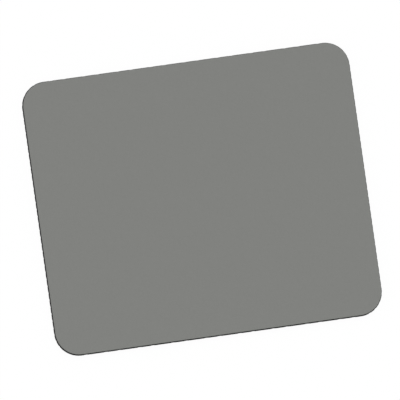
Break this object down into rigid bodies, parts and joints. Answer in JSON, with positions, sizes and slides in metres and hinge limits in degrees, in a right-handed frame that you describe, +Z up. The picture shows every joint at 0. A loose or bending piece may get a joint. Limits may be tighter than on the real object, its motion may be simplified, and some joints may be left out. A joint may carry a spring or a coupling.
{
  "type": "mouse pad",
  "caption": "Flat rounded-rectangle mouse pad: grey knitted cloth face bonded to a thick black sponge-rubber base with an anti-slip wave tread underneath.",
  "frame": {"origin": "on the desk plane, under the centre of the pad's outline", "axes": "+X along the long side, to the right of the user; +Y along the short side, away from the user; +Z up, out of the cloth face"},
  "size_m": [0.235, 0.1966, 0.0063],
  "materials": {
    "sponge_rubber": "matt black open-cell sponge on the cut wall, moulded skin underneath",
    "bond_film": "thin satin hot-melt film, greyish translucent",
    "knit_cloth": "plain mid-grey fine knit, matt, with a faint nap"
  },
  "bodies": {
    "root": {"sponge_base": "sponge_rubber", "adhesive_film": "bond_film", "cloth_top": "knit_cloth"}
  },
  "joints": []
}
